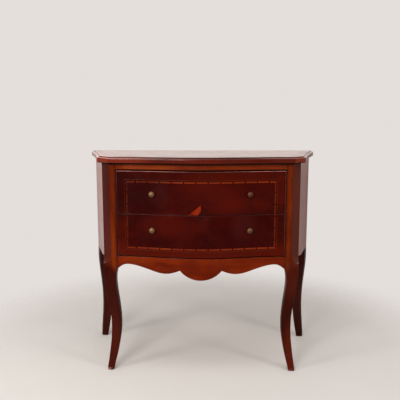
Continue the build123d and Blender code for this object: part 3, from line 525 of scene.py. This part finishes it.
lipping_wood, tree, shader, place = start_material("lipping_wood")
lip = use_group(tree, stained_wood, {
    "Vector": turned_grain(tree, place, NO_TURN, (0.9, 0.2, 0.6)), "Dark": lip_dark,
    "Light": lip_light, "Figure Size": 0.06, "Swirl": 0.02, "Streaks Per Metre": 300.0,
    "Streak Depth": 0.2, "Pore Depth": 0.2})
film = use_group(tree, lacquer_film, {
    "Vector": place, "Pores": lip["Pores"], "Roughness": 0.16, "Patches": 0.08, "Waviness": 0.25})
part = split(tree, place)
facing = facing_of(tree)
# Paler towards the left end of the lipping.
colour = blend_colours(tree, patches(tree, place, lip_paler_spots), lip["Color"], lip_paler)
# Painted shade: the riser of the step nearly black.
riser = ramp(tree, part["Z"], step_z - 0.0002, step_z + 0.0002, 0.0, 0.9)
colour = blend_colours(tree, times(tree, ramp(tree, facing["Z"], 0.5, 0.2), riser), colour, lip_riser_shade)
# Painted light: the canted corner facets lighter than the front, a little more on the right.
canted = ramp(tree, spread_of(tree, facing), 0.4, 0.55)
canted = times(tree, canted, ramp(tree, facing["Y"], -0.35, -0.5))
canted = times(tree, canted, ramp(tree, facing["X"], -0.4, 0.4, 0.4, 0.55))
colour = blend_colours(tree, canted, colour, lip_canted_lit)
# Painted highlight along the rounding below the step, broken up, strongest at the left end and faint
# just right of the middle.
rounding = times(tree, ramp(tree, facing["Z"], 0.62, 0.8), ramp(tree, facing["Z"], 1.0, 0.985))
rounding = times(tree, rounding, ramp(tree, part["Z"], step_z - 0.004, step_z - 0.002))
highlight_strength = ramp(tree, noise(tree, place, lip_highlight_breaks_per_metre, 3.0), 0.38, 0.6, 0.6, 1.0)
highlight_strength = times(tree, highlight_strength, ramp(tree, part["X"], -0.18, -0.28, 0.3, 1.0))
from_highlight_gap = maths(tree, "ABSOLUTE", maths(tree, "SUBTRACT", part["X"], highlight_gap_x))
highlight_strength = times(tree, highlight_strength, ramp(tree, from_highlight_gap, 0.05, 0.2, 0.1, 1.0))
colour = blend_colours(tree, times(tree, rounding, highlight_strength), colour, lip_highlight)
# Painted shade: the chamfer under the lipping nearly black.
under = ramp(tree, facing["Z"], -0.08, -0.35)
colour = blend_colours(tree, under, colour, lip_under_shade)
lacquer(tree, shader, colour, film, place)
in_step = ramp(tree, part["Z"], step_z - 0.004, step_z - 0.003)
in_step = times(tree, in_step, ramp(tree, part["Z"], top_z - 0.0003, top_z - 0.0007))
in_step = times(tree, in_step, ramp(tree, spread_of(tree, part), step_end_x, step_end_x - 0.015))
in_step = times(tree, in_step, ramp(tree, part["X"], -0.32, -0.2, 0.2, 1.0))
dulled = maths(tree, "MAXIMUM", under, in_step)
rough = maths(tree, "MULTIPLY_ADD", dulled, dull_roughness, film["Roughness"])
tree.links.new(rough, shader.inputs["Roughness"])
shader.inputs["Specular IOR Level"].default_value = lip_gloss
finish_nodes(lipping_wood, ["top_edge_moulding"])


# Drawer boxes. Sides and backs of pale hardwood, dovetailed to the fronts and housed at the back, with
# the bottoms slid into grooves; bare inside and out.
box_dark = srgb(170, 130, 86)
box_light = srgb(205, 168, 122)
box_beech = bare_wood("box_beech", ACROSS, box_dark, box_light, shift=(0.7, 0.1, 0.2), soil=0.3)
box_back = bare_wood("box_back", NO_TURN, box_dark, box_light, shift=(0.1, 0.9, 0.4), soil=0.3)
drawers = ("upper_drawer", "lower_drawer")
for drawer in drawers:
    finish_nodes(box_beech, [f"{drawer}_side_left", f"{drawer}_side_right"])
    finish_nodes(box_back, [f"{drawer}_back"])


# Drawer fronts. Bowed boards with rounded arrises, carrying a painted highlight along the top and down
# the ends, stained nearly black-red on the face side and left pale on the inside, where the bottom and
# the sides are let in.
front_dark = srgb(42, 5, 3)
front_light = srgb(76, 13, 6)
inside_dark = srgb(165, 124, 80)
inside_light = srgb(200, 162, 116)
front_arris_highlight = srgb(224, 146, 138)
front_gloss = 0.3
inside_roughness = 0.4
dusty_roughness = 0.5
joint_highlight_share = 0.03
lower_highlight_z = 0.66
upper_highlight_z = 0.7
highlight_middle_x = 0.02
front_highlight_breaks_per_metre = 26.0

front_wood, tree, shader, place = start_material("front_wood")
grain = turned_grain(tree, place, NO_TURN, (0.2, 0.2, 0.9))
dark_front = use_group(tree, stained_wood, {
    "Vector": grain, "Dark": front_dark, "Light": front_light, "Figure Size": 0.05, "Swirl": 0.02,
    "Streaks Per Metre": 300.0, "Streak Depth": 0.25, "Pore Depth": 0.25})
pale_front = use_group(tree, stained_wood, {
    "Vector": grain, "Dark": inside_dark, "Light": inside_light, "Figure Size": 0.05, "Swirl": 0.02,
    "Streaks Per Metre": 300.0, "Streak Depth": 0.22, "Pore Depth": 0.25})
film = use_group(tree, lacquer_film, {
    "Vector": place, "Pores": dark_front["Pores"], "Roughness": 0.17, "Patches": 0.06, "Waviness": 0.2})
part = split(tree, place)
facing = facing_of(tree)
inward = ramp(tree, facing["Y"], 0.3, 0.6)
colour = blend_colours(tree, inward, dark_front["Color"], pale_front["Color"])
# Painted highlight: pale along the top arris of the upper drawer, faint at the joint and weaker in the
# middle, and fainter down the end arrises.
rounding = times(tree, ramp(tree, facing["Z"], 0.05, 0.3), ramp(tree, facing["Z"], 0.995, 0.9))
off_middle = maths(tree, "ABSOLUTE", maths(tree, "SUBTRACT", part["X"], highlight_middle_x))
along = ramp(tree, off_middle, 0.03, 0.2, 0.3, 1.0)
height_share = ramp(tree, part["Z"], lower_highlight_z, upper_highlight_z, joint_highlight_share, 1.0)
top_highlight = times(tree, rounding, times(tree, along, height_share))
end_highlight = ramp(tree, spread_of(tree, facing), 0.4, 0.6)
end_highlight = times(tree, end_highlight, ramp(tree, part["X"], -0.2, 0.2, 0.3, 0.6))
end_highlight = times(tree, end_highlight, ramp(tree, facing["Y"], 0.1, -0.1))
broken = ramp(tree, noise(tree, place, front_highlight_breaks_per_metre, 3.0), 0.3, 0.55, 0.55, 1.0)
# The painted highlight on the top and end arrises.
rubbed = times(tree, maths(tree, "MAXIMUM", top_highlight, end_highlight), broken)
colour = blend_colours(tree, rubbed, colour, front_arris_highlight)
lacquer(tree, shader, colour, film, place)
rough = maths(tree, "MULTIPLY_ADD", inward, inside_roughness, film["Roughness"])
dusty = times(tree, rounding, ramp(tree, part["Z"], upper_highlight_z, lower_highlight_z))
rough = maths(tree, "MULTIPLY_ADD", dusty, dusty_roughness, rough)
tree.links.new(rough, shader.inputs["Roughness"])
shader.inputs["Specular IOR Level"].default_value = front_gloss
finish_nodes(front_wood, [f"{drawer}_front" for drawer in drawers])


# Field veneer. Two leaves of very dark mahogany, opened like a book at the middle of the front, so the
# figure slants up and out on both sides and runs on from one drawer to the other. The veneers are sanded
# flush, so their edges are barely eased.
flush_easing = 0.0003
figure_slant = math.radians(-40.0)
field_dark = srgb(55, 6, 4)
field_light = srgb(67, 9, 5)
field_mottle = srgb(44, 6, 4)
field_warm = srgb(90, 17, 4)
field_dim = srgb(40, 6, 6)
field_sheen = srgb(78, 26, 24)
mottle_per_metre = 55.0
field_warm_spots = [
    (0.06, 0.66, 0.15, 0.08, 0.42),
    (0.16, 0.625, 0.12, 0.04, 0.25),
    (-0.12, 0.555, 0.12, 0.06, 0.38),
    (0.0, 0.56, 0.04, 0.04, 0.25),
    (-0.03, 0.70, 0.09, 0.03, 0.2),
    (0.22, 0.67, 0.05, 0.08, 0.2),
]
field_dim_spots = [
    (-0.21, 0.665, 0.11, 0.09, 0.62),
    (-0.17, 0.50, 0.10, 0.035, 0.25),
    (0.06, 0.51, 0.10, 0.06, 0.3),
    (0.0, 0.635, 0.07, 0.03, 0.2),
]
field_sheen_spots = [(0.15, 0.55, 0.06, 0.06, 0.3), (-0.15, 0.66, 0.05, 0.05, 0.25)]

field_veneer, tree, shader, place = start_material("field_veneer")
part = split(tree, place)
folding = {0: spread_of(tree, part), 1: part["Y"], 2: part["Z"]}
folded = add(tree, "ShaderNodeCombineXYZ", folding).outputs[0]
leaf = use_group(tree, stained_wood, {
    "Vector": turned_grain(tree, folded, (0.0, figure_slant, 0.0), (0.33, 0.0, 0.52)),
    "Dark": field_dark, "Light": field_light, "Figure Size": 0.06, "Swirl": 0.08,
    "Streaks Per Metre": 230.0, "Streak Depth": 0.16, "Pore Depth": 0.18})
mottle = ramp(tree, noise(tree, place, mottle_per_metre, 3.0, 0.6), 0.42, 0.7, 0.0, 0.22)
colour = blend_colours(tree, mottle, leaf["Color"], field_mottle)
colour = blend_colours(tree, patches(tree, place, field_warm_spots), colour, field_warm)
colour = blend_colours(tree, patches(tree, place, field_dim_spots), colour, field_dim)
# Painted sheen: pale purplish patches by the upper left and lower right knobs, standing in for
# reflections.
colour = blend_colours(tree, patches(tree, place, field_sheen_spots), colour, field_sheen)
film = use_group(tree, lacquer_film, {
    "Vector": place, "Pores": leaf["Pores"], "Roughness": 0.15, "Patches": 0.07, "Waviness": 0.2,
    "Easing": flush_easing})
lacquer(tree, shader, colour, film, place)
shader.inputs["Specular IOR Level"].default_value = front_gloss
finish_nodes(field_veneer, [f"{drawer}_field_veneer" for drawer in drawers])


# Crossbanding. Strips of the same veneer laid round the field with the grain at right angles to the
# edge and mitred at the corners; its dark offcuts also make the ticks in the stringing.
band_half_x = 0.27
band_top_z = 0.7155
band_bottom_z = 0.466
tick_depth = 0.0023
seam = 0.0002
band_warm = srgb(90, 19, 4)
band_dim = srgb(42, 6, 5)
tick_colour = srgb(26, 3, 2)
band_warm_spots = [
    (0.12, 0.73, 0.24, 0.03, 0.45),
    (-0.29, 0.52, 0.03, 0.09, 0.2),
    (0.285, 0.68, 0.02, 0.1, 0.35),
]
band_dim_spots = [(-0.28, 0.67, 0.12, 0.11, 0.7)]
band_wood = {
    "Dark": srgb(57, 7, 3), "Light": srgb(69, 11, 4), "Figure Size": 0.04, "Swirl": 0.01,
    "Streaks Per Metre": 380.0, "Streak Depth": 0.16, "Pore Depth": 0.18}

crossbanding, tree, shader, place = start_material("crossbanding")
part = split(tree, place)
beyond = maths(tree, "SUBTRACT", spread_of(tree, part), band_half_x)
above = maths(tree, "SUBTRACT", part["Z"], band_top_z)
below = maths(tree, "SUBTRACT", band_bottom_z, part["Z"])
over = maths(tree, "MAXIMUM", above, below)
sideways = ramp(tree, maths(tree, "SUBTRACT", beyond, over), -seam, seam, smooth=False)
upright = turned_grain(tree, place, UPRIGHT, (0.5, 0.5, 0.1))
along = turned_grain(tree, place, NO_TURN, (0.4, 0.1, 0.2))
tall = use_group(tree, stained_wood, {"Vector": upright, **band_wood})
wide = use_group(tree, stained_wood, {"Vector": along, **band_wood})
colour = blend_colours(tree, sideways, tall["Color"], wide["Color"])
warm = ramp(tree, part["Z"], 0.52, 0.455, 0.0, 0.6)
warm = maths(tree, "ADD", warm, patches(tree, place, band_warm_spots))
colour = blend_colours(tree, warm, colour, band_warm)
colour = blend_colours(tree, patches(tree, place, band_dim_spots), colour, band_dim)
outside = maths(tree, "MAXIMUM", beyond, over)
tick = ramp(tree, outside, -tick_depth - seam / 2, -tick_depth + seam / 2, 1.0, 0.0, smooth=False)
colour = blend_colours(tree, tick, colour, tick_colour)
film = use_group(tree, lacquer_film, {
    "Vector": place, "Pores": tall["Pores"], "Roughness": 0.15, "Patches": 0.07, "Waviness": 0.2,
    "Easing": flush_easing})
lacquer(tree, shader, colour, film, place)
shader.inputs["Specular IOR Level"].default_value = front_gloss
finish_nodes(crossbanding, [f"{drawer}_crossbanding" for drawer in drawers])


# Stringing and line. Light orange strips, cut short and laid with dark ticks between them, and a thin
# duller line outside; both are let into the veneer and have darkened with it.
upright_run_x = 0.2625
right_hand_gain = 0.18
inlay_dim_spots = [(-0.2, 0.71, 0.14, 0.06, 0.4)]


def inlay(name, dark, light, upright_share, shift):
    """Small veneer pieces of a lighter wood, darker where they run upright."""
    made, tree, shader, place = start_material(name)
    wood = use_group(tree, stained_wood, {
        "Vector": turned_grain(tree, place, NO_TURN, shift), "Dark": dark, "Light": light,
        "Figure Size": 0.05, "Swirl": 0.01, "Streaks Per Metre": 500.0, "Streak Depth": 0.12,
        "Pore Depth": 0.15})
    part = split(tree, place)
    beyond = maths(tree, "SUBTRACT", spread_of(tree, part), upright_run_x)
    upright_tone = ramp(tree, part["X"], -0.2, 0.2, upright_share, upright_share + right_hand_gain)
    level = ramp(tree, beyond, -seam, seam, 1.0, upright_tone, smooth=False)
    level = times(tree, level, maths(tree, "SUBTRACT", 1.0, patches(tree, place, inlay_dim_spots)))
    colour = shade_colour(tree, wood["Color"], level)
    film = use_group(tree, lacquer_film, {
        "Vector": place, "Pores": wood["Pores"], "Roughness": 0.16, "Patches": 0.07, "Waviness": 0.2,
        "Easing": flush_easing})
    lacquer(tree, shader, colour, film, place)
    shader.inputs["Specular IOR Level"].default_value = front_gloss
    return made


stringing = inlay("stringing", srgb(114, 34, 10), srgb(138, 47, 13), 0.5, (0.2, 0.0, 0.0))
line_inlay = inlay("line_inlay", srgb(92, 32, 14), srgb(108, 42, 20), 0.8, (0.0, 0.6, 0.0))
for drawer in drawers:
    finish_nodes(stringing, [f"{drawer}_stringing"])
    finish_nodes(line_inlay, [f"{drawer}_line_inlay"])


# Lozenge. Four quarters round a dark core, split between the two drawers; one quarter is bright orange
# wood, and the other three are stained and scorched until they nearly match the field.
joint_z = 0.5945
hair = 0.0001
core_half_x = 0.011
core_half_z = 0.017
bright_outer = srgb(118, 26, 6)
bright_inner = srgb(152, 42, 11)
dark_quarter = srgb(60, 11, 7)
lower_left_quarter = srgb(64, 13, 8)
lower_right_quarter = srgb(70, 15, 8)
streak_grey = (0.72, 0.72, 0.72, 1.0)
streak_white = (1.0, 1.0, 1.0, 1.0)

lozenge, tree, shader, place = start_material("lozenge")
part = split(tree, place)
wood = use_group(tree, stained_wood, {
    "Vector": turned_grain(tree, place, (0.0, figure_slant, 0.0), (0.1, 0.0, 0.0)),
    "Dark": streak_grey, "Light": streak_white, "Figure Size": 0.02, "Swirl": 0.01,
    "Streaks Per Metre": 600.0, "Streak Depth": 0.25, "Pore Depth": 0.2})
right = ramp(tree, part["X"], -hair, hair, smooth=False)
above = ramp(tree, part["Z"], joint_z - hair, joint_z + hair, smooth=False)
bright = blend_colours(tree, ramp(tree, part["X"], -0.04, -0.012), bright_outer, bright_inner)
upper = blend_colours(tree, right, bright, dark_quarter)
lower = blend_colours(tree, right, lower_left_quarter, lower_right_quarter)
colour = blend_colours(tree, above, lower, upper)
rise = maths(tree, "ABSOLUTE", maths(tree, "SUBTRACT", part["Z"], joint_z))
out_across = maths(tree, "DIVIDE", spread_of(tree, part), core_half_x)
out_up = maths(tree, "DIVIDE", rise, core_half_z)
past_core = ramp(tree, maths(tree, "ADD", out_across, out_up), 0.99, 1.01, smooth=False)
colour = blend_colours(tree, past_core, dark_quarter, colour)
colour = blend_colours(tree, 1.0, colour, wood["Color"], "MULTIPLY")
film = use_group(tree, lacquer_film, {
    "Vector": place, "Pores": wood["Pores"], "Roughness": 0.16, "Patches": 0.07, "Waviness": 0.2,
    "Easing": flush_easing})
lacquer(tree, shader, colour, film, place)
shader.inputs["Specular IOR Level"].default_value = front_gloss
finish_nodes(lozenge, [f"{drawer}_centre_inlay" for drawer in drawers])


# Knobs. Turned brass domes on a short neck and a small collar, screwed on from inside the drawer; the
# brass has gone olive and dull, the right-hand pair is painted darker and browner as shade, and the
# crown is rubbed brighter and painted lighter as a highlight.
brass_pale = srgb(152, 114, 74)
brass_olive = srgb(124, 90, 54)
brass_crown_rubbed_and_lit = srgb(164, 124, 96)
brass_dirt = srgb(70, 52, 34)
brass_right_shade = srgb(88, 40, 28)
tarnish_per_metre = 160.0
dirt_per_metre = 1600.0
right_knob_shade_spots = [(0.185, 0.66, 0.1, 0.05, 0.75), (0.185, 0.52, 0.1, 0.05, 0.5)]

aged_brass, tree, shader, place = start_material("aged_brass")
tarnish = ramp(tree, noise(tree, place, tarnish_per_metre, 5.0, 0.62), 0.35, 0.68)
dirt = ramp(tree, noise(tree, place, dirt_per_metre), 0.5, 0.7, 0.0, 0.35)
# The crown is rubbed brighter and also painted lighter where it faces the front, as a painted highlight.
crown = ramp(tree, times(tree, facing_of(tree)["Y"], -1.0), 0.55, 1.0, 0.0, 0.3)
colour = blend_colours(tree, tarnish, brass_pale, brass_olive)
colour = blend_colours(tree, crown, colour, brass_crown_rubbed_and_lit)
colour = blend_colours(tree, dirt, colour, brass_dirt)
# Painted shade: the right-hand knobs darker and browner.
colour = blend_colours(tree, patches(tree, place, right_knob_shade_spots), colour, brass_right_shade)
tree.links.new(colour, shader.inputs["Base Color"])
tree.links.new(ramp(tree, tarnish, 0.0, 1.0, 0.44, 0.56), shader.inputs["Roughness"])
tree.links.new(ramp(tree, tarnish, 0.0, 1.0, 0.75, 0.5), shader.inputs["Metallic"])
bump = add(tree, "ShaderNodeBump", {"Strength": 0.25, "Distance": 0.0002, "Height": tarnish})
tree.links.new(bump.outputs[0], shader.inputs["Normal"])
for drawer in drawers:
    finish_nodes(aged_brass, [f"{drawer}_knob_left", f"{drawer}_knob_right"])


# Screws and pins. Countersunk steel wood screws under the top and inside the drawer fronts, and small
# panel pins round the back, all slightly browned with age.
steel_grey = srgb(150, 146, 140)
steel_rust = srgb(112, 82, 58)
rust_per_metre = 420.0

old_steel, tree, shader, place = start_material("old_steel")
rust = ramp(tree, noise(tree, place, rust_per_metre, 4.0, 0.6), 0.45, 0.65)
tree.links.new(blend_colours(tree, rust, steel_grey, steel_rust), shader.inputs["Base Color"])
tree.links.new(ramp(tree, rust, 0.0, 1.0, 0.35, 0.65), shader.inputs["Roughness"])
tree.links.new(ramp(tree, rust, 0.0, 1.0, 0.95, 0.4), shader.inputs["Metallic"])
finish_nodes(old_steel, ["top_screws", "back_pins"])
finish_nodes(old_steel, [f"{drawer}_knob_screws" for drawer in drawers])


# Floor, light and camera. A pale round floor that fades into a pale surround, which is brighter behind
# the chest than in front of it; soft lamps stand at the upper left, above and at the right.
floor_radius = 1.35
floor_sides = 96
floor_solid_radius = 0.75
floor_pale = srgb(222, 219, 215)
floor_paler = srgb(228, 225, 221)
floor_mirrored = srgb(118, 110, 104)
floor_roughness = 0.7
floor_mottle_per_metre = 5.0

mesh = bpy.data.meshes.new("floor")
turns = [math.tau * side / floor_sides for side in range(floor_sides)]
ring = [(floor_radius * math.cos(turn), floor_radius * math.sin(turn), 0.0) for turn in turns]
mesh.from_pydata(ring, [], [list(range(floor_sides))])
floor = bpy.data.objects.new("floor", mesh)
bpy.context.scene.collection.objects.link(floor)
floor_paint, tree, shader, place = start_material("floor_paint")
distance = add(tree, "ShaderNodeVectorMath", {0: place}, operation="LENGTH").outputs["Value"]
mottle = noise(tree, place, floor_mottle_per_metre, 4.0)
colour = blend_colours(tree, mottle, floor_pale, floor_paler)
mirrored = tree.nodes.new("ShaderNodeLightPath").outputs["Is Glossy Ray"]
tree.links.new(blend_colours(tree, mirrored, colour, floor_mirrored), shader.inputs["Base Color"])
shader.inputs["Roughness"].default_value = floor_roughness
fade = ramp(tree, distance, floor_solid_radius, floor_radius * 0.98, 1.0, 0.0)
tree.links.new(fade, shader.inputs["Alpha"])
mesh.materials.append(floor_paint)


def blend_values(tree, factor, first, second):
    return maths(tree, "MULTIPLY_ADD", factor, maths(tree, "SUBTRACT", second, first), first)


room_level = 0.5
backdrop_level = 0.78
high_left, high_right = 1.22, 1.12
low_left, low_right = 0.66, 0.3
side_inner, side_outer = 0.02, 0.085
room_tint = (1.0, 0.945, 0.915, 1.0)
mirrored_tint = (1.0, 0.89, 0.84, 1.0)

world = bpy.data.worlds.new("studio")
bpy.context.scene.world = world
world.use_nodes = True
tree = world.node_tree
tree.nodes.clear()
toward = split(tree, tree.nodes.new("ShaderNodeTexCoord").outputs["Generated"])
high_level = ramp(tree, toward["X"], -0.4, 0.4, high_left, high_right)
low_level = ramp(tree, toward["X"], -0.2, 0.2, low_left, low_right)
back_level = blend_values(tree, ramp(tree, toward["Z"], -0.12, 0.1), low_level, high_level)
side_level = ramp(tree, spread_of(tree, toward), 0.55, 0.95, side_inner, side_outer)
mirror_level = blend_values(tree, ramp(tree, toward["Y"], 0.2, 0.75), side_level, back_level)
path = tree.nodes.new("ShaderNodeLightPath").outputs
seen = maths(tree, "MAXIMUM", path["Is Camera Ray"], path["Is Transmission Ray"])
level = blend_values(tree, path["Is Glossy Ray"], room_level, mirror_level)
level = blend_values(tree, seen, level, backdrop_level)
tint = blend_colours(tree, path["Is Glossy Ray"], room_tint, mirrored_tint)
surround = add(tree, "ShaderNodeBackground", {"Color": tint, "Strength": level})
output = tree.nodes.new("ShaderNodeOutputWorld")
tree.links.new(surround.outputs[0], output.inputs["Surface"])


def softbox(name, place, target, size, power, colour):
    """Rectangular lamp at one place, turned to a target."""
    lamp = bpy.data.lights.new(name, "AREA")
    lamp.shape = "RECTANGLE"
    lamp.size, lamp.size_y = size
    lamp.energy = power
    lamp.color = colour
    made = bpy.data.objects.new(name, lamp)
    made.location = place
    made.rotation_euler = (Vector(target) - Vector(place)).to_track_quat("-Z", "Y").to_euler()
    made.visible_camera = False
    bpy.context.scene.collection.objects.link(made)


middle = (0.0, 0.0, 0.55)
warm_white = (1.0, 0.97, 0.94)
soft_white = (1.0, 0.98, 0.96)
plain_white = (1.0, 0.99, 0.98)
softbox("front_strip", (-1.1, -2.5, 1.9), middle, (1.0, 0.6), 36.0, warm_white)
softbox("left_strip", (-2.3, -1.3, 1.3), middle, (0.6, 1.2), 16.0, warm_white)
softbox("right_strip", (2.2, -1.5, 1.2), middle, (0.5, 1.2), 12.0, soft_white)
softbox("overhead", (0.0, -0.6, 2.9), middle, (2.2, 0.9), 18.0, plain_white)

camera_place = (0.026593, -2.0539, 0.9403231)
camera_pitch_down = 0.15377767
camera_turn = 0.0157001
lens_mm = 48.589
sensor_mm = 36.0
camera = bpy.data.objects.new("camera", bpy.data.cameras.new("camera"))
camera.data.sensor_width = sensor_mm
camera.data.lens = lens_mm
camera.location = camera_place
camera.rotation_euler = (math.pi / 2 - camera_pitch_down, 0.0, camera_turn)
bpy.context.scene.collection.objects.link(camera)
bpy.context.scene.camera = camera
bpy.context.scene.view_settings.view_transform = "Standard"
